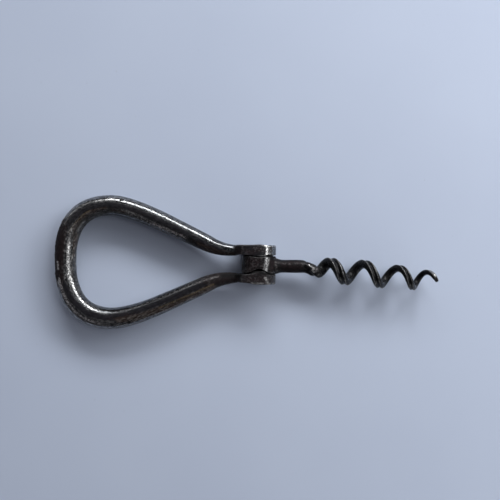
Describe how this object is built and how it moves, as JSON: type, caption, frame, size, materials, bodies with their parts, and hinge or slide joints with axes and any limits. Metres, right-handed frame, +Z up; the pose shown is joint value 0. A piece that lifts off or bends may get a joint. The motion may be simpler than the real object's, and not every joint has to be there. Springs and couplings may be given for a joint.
{
  "type": "folding corkscrew",
  "caption": "Folding pocket corkscrew: a teardrop bow of round steel bar with a fluted helical worm that swings on a riveted hinge, out for use or into the bow to be put away.",
  "frame": {"origin": "on the table that the open corkscrew lies on, straight under the middle of the hinge rivet, at the middle of the hinge block's flat underside", "axes": "+X from the bow to the worm's point, +Y across the bow along the rivet, +Z up from the table"},
  "size_m": [0.1273, 0.045, 0.0092],
  "materials": {
    "bow_steel": "old forged steel, worn bright on the outside of the bend, dark brown patina and fine pits elsewhere",
    "worm_steel": "dark forged steel with a satin gloss along the flute's edges",
    "rivet_steel": "hammered and filed steel with brown patina"
  },
  "bodies": {
    "bow": {"bow": "bow_steel", "hinge_rivet": "rivet_steel"},
    "worm": {"worm": "worm_steel"}
  },
  "joints": [
    {"name": "worm_fold", "type": "hinge", "parent": "bow", "child": "worm", "pos_m": [0, 0, 0.0046], "axis": [0, 1, 0], "range_deg": [-180, 180]}
  ]
}
